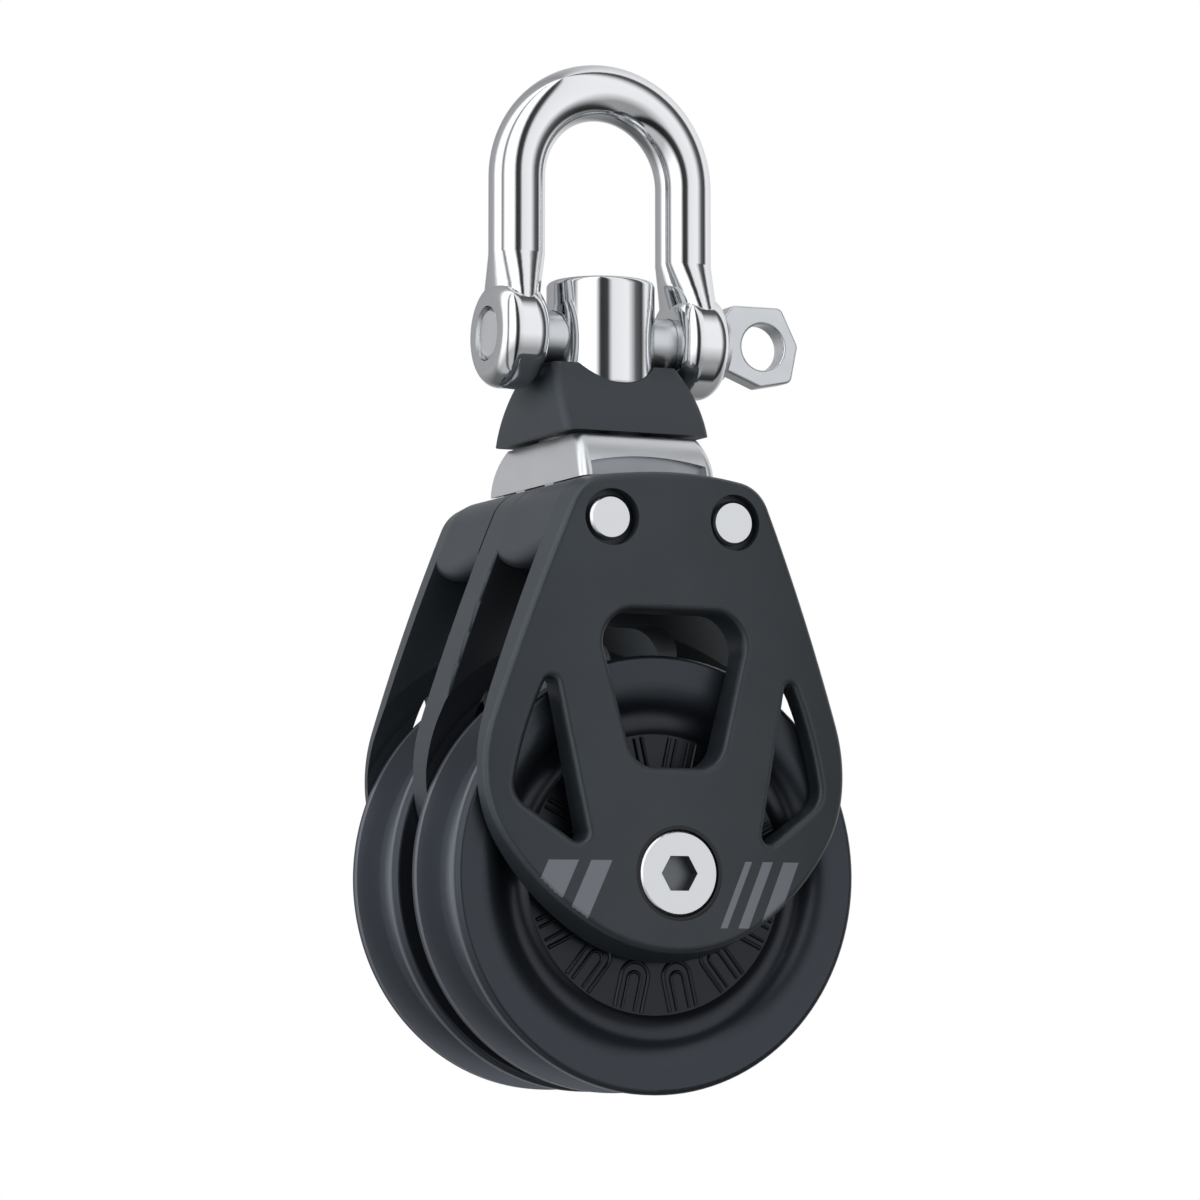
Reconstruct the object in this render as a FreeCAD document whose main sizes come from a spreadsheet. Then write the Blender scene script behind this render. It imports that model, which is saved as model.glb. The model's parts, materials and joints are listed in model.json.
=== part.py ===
"""Double swivel block: two grooved sheaves side by side between forged plates, hung
from a D shackle.  Millimetres, +Z up.  The origin is the inner crown of the shackle
bow, where the block hangs.  The shackle pin lies along X and the sheave axle along Y.
"""
import FreeCAD, Part
import math
import os
import Sketcher
from FreeCAD import Placement, Rotation, Vector

os.makedirs("parts", exist_ok=True)
doc = FreeCAD.newDocument("double_block")
sheet = doc.addObject("Spreadsheet::Sheet", "sizes")

SIZES = {
    # Shackle bow: a bent round bar that flares into a round-edged ear at each end.
    "bar_dia": 8.0,
    "bow_half": 13.05,
    "bow_rise": 22.6,
    "ear_dia": 15.2,
    "ear_inner": 10.4,
    "ear_thick": 7.3,
    "ear_round": 2.5,
    "flare_start": 3.5,
    "flare_end": 11.5,
    "flare_width": 6.8,
    "flare_depth": 12.8,
    # Shackle pin with a flat key head.  Key points are measured from the outer ear face.
    "pin_dia": 7.6,
    "pin_clearance": 0.08,
    "pin_recess": 0.4,
    "pin_chamfer": 0.6,
    "collar_dia": 10.0,
    "collar_thick": 0.8,
    "key_thick": 3.3,
    "key_root": 0.25,
    "key_neck_top": 3.5,
    "key_brow_x": 2.5,
    "key_brow_z": 6.3,
    "key_crest_x": 10.4,
    "key_crest_z": 6.4,
    "key_tip_x": 13.1,
    "key_tip_z": 1.0,
    "key_toe_x": 12.0,
    "key_toe_z": 4.4,
    "key_heel_x": 7.0,
    "key_heel_z": 5.4,
    "key_neck_foot": 2.8,
    "key_hole_dia": 6.7,
    "key_hole_x": 7.4,
    "key_hole_z": 0.5,
    "key_round": 1.2,
    "key_edge": 0.4,
    # Swivel eye, its washers and its nut.
    "barrel_dia": 15.4,
    "barrel_above": 8.3,
    "barrel_below": 7.8,
    "barrel_top_round": 0.8,
    "barrel_foot_round": 1.5,
    "neck_dia": 12.0,
    "stud_dia": 8.0,
    "stud_clearance": 0.08,
    "stud_spare": 0.4,
    "turn_gap": 0.05,
    "washer_dia": 18.0,
    "washer_thick": 0.75,
    "thrust_dia": 12.8,
    "thrust_thick": 0.7,
    "nut_across": 11.0,
    "nut_height": 3.9,
    # Boot of the swivel.
    "boot_gap": 0.5,
    "boot_height": 10.45,
    "boot_pin_gap": 0.25,
    "boot_foot_x": 11.1,
    "boot_foot_y": 12.75,
    "boot_top_x": 9.6,
    "boot_top_y": 5.2,
    "boot_side_arc": 25.0,
    "boot_front_arc": 45.0,
    "boot_corner": 1.2,
    "boot_play": 0.1,
    # Head plate with four legs that the rivets cross.
    "head_gap": 0.3,
    "head_height": 5.5,
    "head_foot_x": 10.3,
    "head_foot_y": 16.3,
    "head_top_x": 9.4,
    "head_top_y": 12.4,
    "head_side_arc": 16.0,
    "head_front_arc": 10.0,
    "head_corner": 1.4,
    "arch_floor": 14.4,
    "arch_half": 8.8,
    "arch_rise": 2.3,
    "arch_arc": 38.0,
    "leg_inner": 6.7,
    "leg_outer": 10.2,
    "leg_thick": 3.0,
    "leg_eye_dia": 5.8,
    "leg_play": 0.15,
    "nut_pocket_dia": 13.2,
    "nut_pocket_floor": 49.6,
    # Outline shared by the two cheeks and the middle plate, measured from the axle.
    "foot_z": 12.33,
    "shin_x": 12.2,
    "shin_z": 8.9,
    "hip_x": 24.81,
    "hip_z": 3.69,
    "belly_x": 27.45,
    "belly_z": 11.53,
    "waist_x": 26.49,
    "waist_z": 20.52,
    "neck_x": 15.16,
    "neck_z": 50.79,
    "brow_x": 10.85,
    "brow_z": 54.22,
    "top_z": 55.2,
    "foot_arc": 23.4,
    "shin_arc": 38.05,
    "hip_arc": 18.53,
    "belly_arc": 22.07,
    "flank_arc": 357.0,
    "neck_arc": 5.81,
    "top_arc": 60.99,
    # Cheeks: crowned outer face on an outline that draws in towards the front.
    "hub_face": 25.4,
    "crown_arc": 111.4,
    "crown_lean": 1.4,
    "draft_face": 27.0,
    "draft_scale": 0.96,
    "draft_centre": 36.0,
    "face_edge": 1.0,
    "window_edge": 0.9,
    "rim_recess_depth": 1.1,
    "rim_play": 1.0,
    "rim_recess_lean": 4.0,
    "shoulder_edge": 43.3,
    "shoulder_sag": 1.2,
    "shoulder_round": 1.8,
    # Centre window, measured from the axle.
    "window_top": 35.6,
    "window_top_half": 11.9,
    "window_foot": 14.3,
    "window_foot_half": 6.3,
    "window_top_round": 4.5,
    "window_foot_round": 4.0,
    # Side windows: apex, outer corner and toe, measured from the axle.
    "apex_x": 17.7,
    "apex_z": 27.8,
    "cheekbone_x": 23.2,
    "cheekbone_z": 10.2,
    "toe_x": 12.6,
    "toe_z": 2.6,
    "cheekbone_arc": 53.0,
    "apex_round": 0.8,
    "cheekbone_round": 3.5,
    "toe_round": 1.2,
    # Middle plate.
    "middle_thick": 6.8,
    "middle_edge": 0.5,
    # Sheaves: half profile from the hub outwards; insets are measured in from the rim.
    "sheave_dia": 60.0,
    "sheave_width": 16.4,
    "hub_dia": 21.0,
    "web_sink": 1.4,
    "web_inset": 10.8,
    "trough_sag": 0.9,
    "trough_lip_inset": 7.0,
    "trough_lip_sink": 1.7,
    "face_sag": 0.36,
    "face_inset": 3.6,
    "face_sink": 0.15,
    "rim_round": 0.8,
    "lip_width": 2.2,
    "flank_depth": 3.2,
    "flank_step": 0.5,
    "groove_depth": 7.5,
    # Axle tube, its screws with their bushes, the sleeve bearings and the thrust washers.
    "axle_dia": 12.0,
    "axle_bore": 6.0,
    "axle_clearance": 0.05,
    "sleeve_wall": 1.95,
    "hub_gap": 0.1,
    "hub_washer_dia": 20.0,
    "hub_washer_thick": 0.35,
    "axle_seat_depth": 2.0,
    "web_thick": 1.0,
    "screw_hole_dia": 6.2,
    "screw_dia": 5.9,
    "screw_length": 9.0,
    "screw_head_dia": 11.8,
    "screw_head_height": 2.2,
    "screw_chamfer": 0.4,
    "socket_across": 4.7,
    "socket_depth": 2.0,
    "bush_floor": 0.5,
    "bush_wall": 0.5,
    "bush_play": 0.05,
    "bush_sink": 0.2,
    # Head rivets.
    "rivet_x": 9.3,
    "rivet_z": 48.2,
    "rivet_dia": 4.0,
    "rivet_head_dia": 6.1,
    "rivet_head_height": 1.6,
    "rivet_chamfer": 0.3,
    "rivet_seat": 21.8,
    "rivet_recess_dia": 7.8,
}

for row, (alias, amount) in enumerate(SIZES.items(), start=1):
    sheet.set(f"A{row}", alias)
    sheet.set(f"B{row}", str(amount))
    sheet.setAlias(f"B{row}", alias)
doc.recompute()


class Size:
    """A number together with the sheet expression that it comes from."""

    def __init__(self, number, text):
        self.number = number
        self.text = text

    def __add__(self, other):
        other = as_size(other)
        return Size(self.number + other.number, f"({self.text} + {other.text})")

    def __sub__(self, other):
        other = as_size(other)
        return Size(self.number - other.number, f"({self.text} - {other.text})")

    def __mul__(self, other):
        other = as_size(other)
        return Size(self.number * other.number, f"({self.text} * {other.text})")

    def __truediv__(self, other):
        other = as_size(other)
        return Size(self.number / other.number, f"({self.text} / {other.text})")

    def __neg__(self):
        return Size(-self.number, f"(0 - {self.text})")


def as_size(amount):
    """Turns a plain number into a Size."""
    if isinstance(amount, Size):
        return amount
    return Size(float(amount), repr(float(amount)))


def size(alias):
    """The named cell of the sheet."""
    return Size(float(sheet.get(alias)), f"sizes.{alias}")


def half(alias):
    """Half of the named cell: the radius of a diameter."""
    return size(alias) / 2


def root_of(amount):
    """The square root of a Size."""
    return Size(math.sqrt(amount.number), f"sqrt({amount.text})")


def sine_of(angle):
    """The sine of a Size in degrees."""
    return Size(math.sin(math.radians(angle.number)), f"sin({angle.text})")


def cosine_of(angle):
    """The cosine of a Size in degrees."""
    return Size(math.cos(math.radians(angle.number)), f"cos({angle.text})")


def bind(item, path, amount):
    """Ties one property of a document object to its expression."""
    item.setExpression(path, as_size(amount).text)


def bound_constraint(sketch, *details):
    """Adds a dimension to a sketch; the last detail is its Size."""
    amount = as_size(details[-1])
    number = sketch.addConstraint(Sketcher.Constraint(*details[:-1], amount.number))
    sketch.setExpression(f"Constraints[{number}]", amount.text)


def fix_point(sketch, edge, end, x, y):
    """Dimensions one point of the sketch from the sketch origin."""
    bound_constraint(sketch, "DistanceX", -1, 1, edge, end, x)
    bound_constraint(sketch, "DistanceY", -1, 1, edge, end, y)


def short_arc(start, end, radius):
    """The short arc between two points; a positive radius bulges to the right of travel."""
    chord = end - start
    rise = math.sqrt(radius * radius - chord.Length ** 2 / 4)
    side = Vector(chord.y, -chord.x, 0).normalize() * math.copysign(rise, radius)
    centre = (start + end) / 2 - side
    first, last = (start, end) if radius > 0 else (end, start)
    angles = [math.atan2(spot.y - centre.y, spot.x - centre.x) for spot in (first, last)]
    if angles[1] < angles[0]:
        angles[1] += 2 * math.pi
    circle = Part.Circle(centre, Vector(0, 0, 1), abs(radius))
    return Part.ArcOfCircle(circle, angles[0], angles[1])


def draw(sketch, corners):
    """Draws a closed outline, anticlockwise.  A corner is (x, y) or (x, y, radius), where the
    radius makes the edge that follows an arc: positive bulges outwards, negative inwards."""
    first = sketch.GeometryCount
    spots = [Vector(as_size(c[0]).number, as_size(c[1]).number, 0) for c in corners]
    count = len(corners)
    ends = []
    for index, corner in enumerate(corners):
        start, end = spots[index], spots[(index + 1) % count]
        radius = as_size(corner[2]).number if len(corner) == 3 else 0
        if radius:
            sketch.addGeometry(short_arc(start, end, radius), False)
        else:
            sketch.addGeometry(Part.LineSegment(start, end), False)
        ends.append((2, 1) if radius < 0 else (1, 2))
    for index, corner in enumerate(corners):
        edge, after = first + index, first + (index + 1) % count
        sketch.addConstraint(Sketcher.Constraint(
            "Coincident", edge, ends[index][1], after, ends[(index + 1) % count][0]))
        fix_point(sketch, edge, ends[index][0], corner[0], corner[1])
        if len(corner) == 3:
            radius = as_size(corner[2])
            bound_constraint(sketch, "Radius", edge, -radius if radius.number < 0 else radius)


def draw_circle(sketch, x, y, radius):
    """Draws a dimensioned circle."""
    centre = Vector(as_size(x).number, as_size(y).number, 0)
    circle = Part.Circle(centre, Vector(0, 0, 1), as_size(radius).number)
    edge = sketch.addGeometry(circle, False)
    fix_point(sketch, edge, 3, x, y)
    bound_constraint(sketch, "Radius", edge, radius)


def new_body(label):
    """An empty body."""
    body = doc.addObject("PartDesign::Body", label)
    body.Label = label
    return body


def new_sketch(body, name, plane, lift=0):
    """A sketch on one of the body's origin planes, lifted along the plane's normal."""
    sketch = body.newObject("Sketcher::SketchObject", name)
    for item in body.Origin.OriginFeatures:
        if item.Role == plane:
            sketch.AttachmentSupport = [(item, "")]
    sketch.MapMode = "FlatFace"
    bind(sketch, "AttachmentOffset.Base.z", lift)
    doc.recompute()
    return sketch


def turn(body, name, corners, axis="V_Axis"):
    """Revolves an outline of the body's XZ plane a full turn about the sketch's own axis."""
    sketch = new_sketch(body, name, "XZ_Plane")
    draw(sketch, corners)
    feature = body.newObject("PartDesign::Revolution", name + "_turn")
    feature.Profile = sketch
    feature.ReferenceAxis = (sketch, [axis])
    feature.Angle = 360
    body.Tip = feature
    doc.recompute()


def pad(body, sketch, length):
    """Pads a sketch along its normal."""
    feature = body.newObject("PartDesign::Pad", sketch.Name + "_pad")
    feature.Profile = sketch
    bind(feature, "Length", length)
    body.Tip = feature
    doc.recompute()


def pocket(body, sketch, length):
    """Cuts a sketch out of the body, against the sketch's normal."""
    before = body.Shape.Volume
    feature = body.newObject("PartDesign::Pocket", sketch.Name + "_pocket")
    feature.Profile = sketch
    bind(feature, "Length", length)
    body.Tip = feature
    doc.recompute()
    if body.Shape.Volume >= before:
        raise RuntimeError(sketch.Name + " cuts nothing")


def hexagon(across):
    """Corners of a regular hexagon from its width across flats."""
    flat = across / 2
    corner = across / root_of(as_size(3))
    return [(corner, 0), (corner / 2, flat), (-corner / 2, flat),
            (-corner, 0), (-corner / 2, -flat), (corner / 2, -flat)]


STANDING = {
    "XZ": (Rotation(Vector(1, 0, 0), 90), Vector(0, -1, 0)),
    "YZ": (Rotation(Vector(1, 1, 1), 120), Vector(1, 0, 0)),
}


def standing_sketch(name, plane, corners, forward=0):
    """An outline in the XZ plane, moved forward to -Y, or in the YZ plane."""
    sketch = doc.addObject("Sketcher::SketchObject", name)
    sketch.Placement = Placement(Vector(), STANDING[plane][0])
    bind(sketch, "Placement.Base.y", -as_size(forward))
    draw(sketch, corners)
    doc.recompute()
    return sketch


def prism(name, plane, corners, start, end):
    """An outline swept along the plane's normal (-Y or +X) from start to end."""
    solid = doc.addObject("Part::Extrusion", name)
    solid.Base = standing_sketch(name + "_outline", plane, corners)
    solid.DirMode = "Custom"
    solid.Dir = STANDING[plane][1]
    solid.Solid = True
    bind(solid, "LengthFwd", end)
    bind(solid, "LengthRev", -as_size(start))
    doc.recompute()
    return solid


def rod(name, radius, start, end, x=0, z=0):
    """A cylinder along -Y from start to end."""
    solid = doc.addObject("Part::Cylinder", name)
    solid.Placement = Placement(Vector(), Rotation(Vector(1, 0, 0), 90))
    bind(solid, "Radius", radius)
    bind(solid, "Height", as_size(end) - start)
    bind(solid, "Placement.Base.x", x)
    bind(solid, "Placement.Base.y", -as_size(start))
    bind(solid, "Placement.Base.z", z)
    doc.recompute()
    return solid


def cone(name, start_radius, end_radius, start, end):
    """A cone around the axle's axis, along -Y from start to end."""
    solid = doc.addObject("Part::Cone", name)
    solid.Placement = Placement(Vector(), Rotation(Vector(1, 0, 0), 90))
    bind(solid, "Radius1", start_radius)
    bind(solid, "Radius2", end_radius)
    bind(solid, "Height", as_size(end) - start)
    bind(solid, "Placement.Base.y", -as_size(start))
    doc.recompute()
    return solid


def post(name, radius, bottom, top):
    """A cylinder along Z."""
    solid = doc.addObject("Part::Cylinder", name)
    bind(solid, "Radius", radius)
    bind(solid, "Height", as_size(top) - bottom)
    bind(solid, "Placement.Base.z", bottom)
    doc.recompute()
    return solid


def cross_bar(name, radius, start, end):
    """A cylinder along X from start to end."""
    solid = doc.addObject("Part::Cylinder", name)
    solid.Placement = Placement(Vector(), Rotation(Vector(0, 1, 0), 90))
    bind(solid, "Radius", radius)
    bind(solid, "Height", as_size(end) - start)
    bind(solid, "Placement.Base.x", start)
    doc.recompute()
    return solid


def brick(name, low, high):
    """A box between two corners."""
    solid = doc.addObject("Part::Box", name)
    for path, axis, base, far in zip(("Length", "Width", "Height"), "xyz", low, high):
        bind(solid, path, as_size(far) - base)
        bind(solid, "Placement.Base." + axis, base)
    doc.recompute()
    return solid


def merge(name, solids):
    """The union of several solids."""
    result = doc.addObject("Part::MultiFuse", name)
    result.Shapes = solids
    result.Refine = True
    doc.recompute()
    return result


def combine(kind, name, base, tool):
    """Part::Cut or Part::Common of two solids."""
    result = doc.addObject(kind, name)
    result.Base = base
    result.Tool = tool
    result.Refine = True
    doc.recompute()
    return result


def cut(name, base, tools):
    """A solid less each of the tools in turn."""
    for number, tool in enumerate(tools[:-1], start=1):
        base = combine("Part::Cut", f"{name}_step_{number}", base, tool)
    return combine("Part::Cut", name, base, tools[-1])


def common(name, base, tool):
    """What two solids share."""
    return combine("Part::Common", name, base, tool)


def soften(name, base, groups):
    """Rounds edges.  Each group is (test of an edge, radius)."""
    result = doc.addObject("Part::Fillet", name)
    result.Base = base
    chosen = []
    for test, radius in groups:
        amount = as_size(radius).number
        for number, edge in enumerate(base.Shape.Edges, start=1):
            if test(edge):
                chosen.append((number, amount, amount))
    result.Edges = chosen
    doc.recompute()
    return result


def mirrored(name, source, normal):
    """The mirror image of a solid across a plane through the origin."""
    result = doc.addObject("Part::Mirroring", name)
    result.Source = source
    result.Normal = normal
    doc.recompute()
    return result


def middle_of(edge):
    """The point half way along an edge."""
    return edge.valueAt((edge.FirstParameter + edge.LastParameter) / 2)


def climbs(edge):
    """True for an edge that rises."""
    return abs(edge.Vertexes[0].Z - edge.Vertexes[-1].Z) > 1


def at_corner(x, z):
    """A test for the edges along Y through a corner or its mirror image."""
    def test(edge):
        spot = middle_of(edge)
        along = abs(edge.Vertexes[0].Y - edge.Vertexes[-1].Y) > 1
        near_x = abs(abs(spot.x) - as_size(x).number) < 0.01
        return along and near_x and abs(spot.z - as_size(z).number) < 0.01
    return test


def among(edges):
    """A test for the edges of a list."""
    return lambda edge: any(edge.isSame(other) for other in edges)


parts = {}


def keep(label, item, level=0):
    """Names a finished sub-part and sets it at its height in the block."""
    item.Label = label
    bind(item, "Placement.Base.z", level)
    parts[label] = item
    doc.recompute()


# Distances along the axle from the middle of the block.
middle_half = half("middle_thick")
middle_web = middle_half - size("rim_recess_depth")
hub_inner = middle_web + size("hub_washer_thick") + size("hub_gap")
sheave_offset = hub_inner + half("sheave_width")
hub_outer = hub_inner + size("sheave_width")
cheek_web = hub_outer + size("hub_gap") + size("hub_washer_thick")
cheek_inner = cheek_web - size("rim_recess_depth")
axle_end = cheek_web + size("axle_seat_depth")
bush_seat = axle_end + size("web_thick")
screw_seat = bush_seat + size("bush_floor")
bush_r = half("screw_head_dia") + size("bush_play") + size("bush_wall")

# Recess that clears a sheave's rim: its radius at the floor and at the open side.
recess_r = half("sheave_dia") + size("rim_play")
lean_r = recess_r + size("rim_recess_lean")

# Heights above the axle.
head_foot = size("top_z") + size("head_gap")
head_top = head_foot + size("head_height")
thrust_top = head_foot - size("turn_gap")
nut_top = thrust_top - size("thrust_thick")
nut_foot = nut_top - size("nut_height")
washer_foot = head_top + size("turn_gap")
washer_top = washer_foot + size("washer_thick")
boot_foot = head_top + size("boot_gap")
boot_top = boot_foot + size("boot_height")
pin_height = boot_top + size("boot_pin_gap") + half("pin_dia")

# Heights of the pin and of the axle below the inner crown of the bow.
bar_r = half("bar_dia")
pin_level = -(size("bow_rise") + size("bow_half") - bar_r)
axle_level = pin_level - pin_height


def bend_bar():
    """Half torus and two straight legs, for the bow of the shackle."""
    bow = doc.addObject("Part::Torus", "bow_bend")
    bow.Placement = Placement(Vector(), Rotation(Vector(1, 0, 0), 90))
    bow.Angle3 = 180
    bind(bow, "Radius1", size("bow_half"))
    bind(bow, "Radius2", bar_r)
    bind(bow, "Placement.Base.z", size("bow_rise"))
    pieces = [bow]
    for name, side in (("left", -1), ("right", 1)):
        leg = post("bow_leg_" + name, bar_r, size("flare_end"), size("bow_rise"))
        bind(leg, "Placement.Base.x", size("bow_half") * side)
        pieces.append(leg)
    return pieces


def flare(name, side):
    """The bar of one leg spreading from its round section to the width of the ear."""
    slim = doc.addObject("Part::Circle", name + "_slim")
    slim.Placement = Placement(Vector(), Rotation(Vector(0, 0, 1), 90))
    bind(slim, "Radius", bar_r)
    bind(slim, "Placement.Base.x", size("bow_half") * side)
    bind(slim, "Placement.Base.z", size("flare_end"))
    wide = doc.addObject("Part::Ellipse", name + "_wide")
    wide.Placement = Placement(Vector(), Rotation(Vector(0, 0, 1), 90))
    bind(wide, "MajorRadius", half("flare_depth"))
    bind(wide, "MinorRadius", half("flare_width"))
    bind(wide, "Placement.Base.x", (size("ear_inner") + half("ear_thick")) * side)
    bind(wide, "Placement.Base.z", size("flare_start"))
    solid = doc.addObject("Part::Loft", name)
    solid.Sections = [wide, slim]
    solid.Solid = True
    doc.recompute()
    return solid


def shackle_bow():
    """Bow of the shackle; local origin on the pin."""
    pieces = bend_bar()
    ear_outer = size("ear_inner") + size("ear_thick")
    for name, side in (("left", -1), ("right", 1)):
        pieces.append(flare("flare_" + name, side))
        start, end = size("ear_inner"), ear_outer
        if side < 0:
            start, end = -ear_outer, -size("ear_inner")
        disc = cross_bar("ear_" + name, half("ear_dia"), start, end)
        pieces.append(soften("ear_rounded_" + name, disc, [
            (lambda edge: edge.isClosed(), size("ear_round"))]))
    bore = cross_bar("ear_bore", half("pin_dia") + size("pin_clearance"),
                     -ear_outer - 1, ear_outer + 1)
    keep("shackle_bow", cut("shackle_bow", merge("bow_blank", pieces), [bore]), pin_level)


def shackle_pin():
    """Round pin from the left ear to a collar and a flat key head with a hole."""
    ear_outer = size("ear_inner") + size("ear_thick")
    radius = half("pin_dia")
    chamfer = size("pin_chamfer")
    tip = size("pin_recess") - ear_outer
    collar_end = ear_outer + size("collar_thick")
    body = new_body("pin_turned")
    turn(body, "pin_profile", [
        (tip, 0),
        (collar_end, 0),
        (collar_end, half("collar_dia")),
        (ear_outer, half("collar_dia")),
        (ear_outer, radius),
        (tip + chamfer, radius),
        (tip, radius - chamfer),
    ], "H_Axis")
    key_half = half("key_thick")
    root = ear_outer + size("key_root")
    spots = [
        (root, -size("key_neck_foot")),
        (ear_outer + size("key_heel_x"), -size("key_heel_z")),
        (ear_outer + size("key_toe_x"), -size("key_toe_z")),
        (ear_outer + size("key_tip_x"), size("key_tip_z")),
        (ear_outer + size("key_crest_x"), size("key_crest_z")),
        (ear_outer + size("key_brow_x"), size("key_brow_z")),
        (root, size("key_neck_top")),
    ]
    blank = prism("key_blank", "XZ", spots, -key_half, key_half)
    rounded = soften("key_rounded", blank,
                     [(at_corner(x, z), size("key_round")) for x, z in spots[1:6]])
    hole = rod("key_hole", half("key_hole_dia"), -key_half - 1, key_half + 1,
               ear_outer + size("key_hole_x"), size("key_hole_z"))
    plate = cut("key_plate", rounded, [hole])

    def on_a_flat(edge):
        """True for an edge of the key's two flat faces that isn't on the root."""
        level = abs(edge.Vertexes[0].Y - edge.Vertexes[-1].Y) < 0.001
        outer = abs(abs(middle_of(edge).y) - key_half.number) < 0.001
        return level and outer and middle_of(edge).x > root.number + 0.01

    key = soften("key_bevelled", plate, [(on_a_flat, size("key_edge"))])
    keep("shackle_pin", merge("shackle_pin", [body, key]), pin_level)


def swivel_eye():
    """Cross-bored barrel on a neck and a stud."""
    barrel_foot = pin_height - size("barrel_below")
    barrel_top = pin_height + size("barrel_above")
    barrel_r = half("barrel_dia")
    top_round = size("barrel_top_round")
    foot_round = size("barrel_foot_round")
    stud_foot = nut_foot - size("stud_spare")
    body = new_body("swivel_eye")
    turn(body, "eye_profile", [
        (0, stud_foot),
        (half("stud_dia"), stud_foot),
        (half("stud_dia"), washer_top),
        (half("neck_dia"), washer_top),
        (half("neck_dia"), barrel_foot),
        (barrel_r - foot_round, barrel_foot, foot_round),
        (barrel_r, barrel_foot + foot_round),
        (barrel_r, barrel_top - top_round, top_round),
        (barrel_r - top_round, barrel_top),
        (0, barrel_top),
    ])
    bore = new_sketch(body, "eye_bore", "YZ_Plane", barrel_r + 1)
    draw_circle(bore, 0, pin_height, half("pin_dia") + size("pin_clearance"))
    pocket(body, bore, size("barrel_dia") + 2)
    keep("swivel_eye", body, axle_level)


def ring(label, inner, outer, bottom, top):
    """A flat ring about the Z axis."""
    body = new_body(label)
    turn(body, label + "_profile",
         [(inner, bottom), (outer, bottom), (outer, top), (inner, top)])
    keep(label, body, axle_level)


def swivel_nut():
    """Hexagon nut below the head plate."""
    body = new_body("swivel_nut")
    sketch = new_sketch(body, "nut_outline", "XY_Plane", nut_foot)
    draw(sketch, hexagon(size("nut_across")))
    draw_circle(sketch, 0, 0, half("stud_dia"))
    pad(body, sketch, size("nut_height"))
    keep("swivel_nut", body, axle_level)


def tapered_block(name, foot, top, bottom, high, side_arc, front_arc, corner):
    """A block whose four flanks lean in and bulge; foot and top are half sizes in X and Y."""
    across = prism(name + "_across", "XZ", [
        (-foot[0], bottom),
        (foot[0], bottom, side_arc),
        (top[0], high),
        (-top[0], high, side_arc),
    ], -foot[1] - 1, foot[1] + 1)
    along = prism(name + "_along", "YZ", [
        (-foot[1], bottom),
        (foot[1], bottom, front_arc),
        (top[1], high),
        (-top[1], high, front_arc),
    ], -foot[0] - 1, foot[0] + 1)
    block = common(name + "_block", across, along)
    return soften(name + "_rounded", block, [(climbs, corner)])


def swivel_boot():
    """Moulded cover that holds the barrel of the eye between its flanks."""
    block = tapered_block(
        "boot", (size("boot_foot_x"), size("boot_foot_y")), (size("boot_top_x"), size("boot_top_y")),
        boot_foot, boot_top, size("boot_side_arc"), size("boot_front_arc"), size("boot_corner"))
    play = size("boot_play")
    barrel_foot = pin_height - size("barrel_below")
    tools = [
        post("boot_bore", half("barrel_dia") + play, barrel_foot - play, boot_top + 1),
        post("boot_neck", half("neck_dia") + play, boot_foot - 1, boot_top),
        post("boot_recess", half("washer_dia") + play, boot_foot - 1, washer_top + play),
    ]
    keep("swivel_boot", cut("swivel_boot", block, tools), axle_level)


def rivet_hole(name, side):
    """Cutter for the shank of one head rivet, through the whole block."""
    reach = size("hub_face") + 1
    return rod(name, half("rivet_dia"), -reach, reach, size("rivet_x") * side, size("rivet_z"))


def head_plate():
    """Flaring block with an arched relief in both ends, on four legs that the rivets cross."""
    foot_x, foot_y = size("head_foot_x"), size("head_foot_y")
    saddle_arc = size("top_arc") + size("head_gap")
    skirt = head_foot - saddle_arc + root_of(saddle_arc * saddle_arc - foot_x * foot_x)
    block = tapered_block(
        "head", (foot_x, foot_y), (size("head_top_x"), size("head_top_y")), skirt, head_top,
        size("head_side_arc"), size("head_front_arc"), size("head_corner"))
    arch_half = size("arch_half")
    arc = size("arch_arc")
    spring = head_foot + size("arch_rise") - arc + root_of(arc * arc - arch_half * arch_half)
    arch = prism("head_arch_front", "XZ", [
        (-arch_half, skirt - 1),
        (arch_half, skirt - 1),
        (arch_half, spring, arc),
        (-arch_half, spring),
    ], size("arch_floor"), foot_y + 1)
    arch_back = mirrored("head_arch_back", arch, Vector(0, 1, 0))
    bore = post("head_bore", half("stud_dia") + size("stud_clearance"), head_foot - 1, head_top + 1)
    reach = foot_y + 1
    hollow = rod("head_saddle", saddle_arc, -reach, reach, 0, head_foot - saddle_arc)
    seat = post("head_seat", half("nut_pocket_dia"), skirt - 1, head_foot)
    pieces = [cut("head_top", block, [arch, arch_back, bore, hollow, seat])]
    holes = []
    x, z = size("rivet_x"), size("rivet_z")
    for name_x, side in (("left", -1), ("right", 1)):
        low_x, high_x = size("leg_inner"), size("leg_outer")
        if side < 0:
            low_x, high_x = -high_x, -low_x
        for name_y, start in (("front", middle_half), ("back", -middle_half - size("leg_thick"))):
            tag = f"{name_y}_{name_x}"
            end = start + size("leg_thick")
            pieces.append(brick("leg_" + tag, (low_x, -end, z), (high_x, -start, head_foot + 1)))
            pieces.append(rod("leg_eye_" + tag, half("leg_eye_dia"), start, end, x * side, z))
        holes.append(rivet_hole("leg_hole_" + name_x, side))
    keep("head_plate", cut("head_plate", merge("head_joined", pieces), holes), axle_level)


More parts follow.
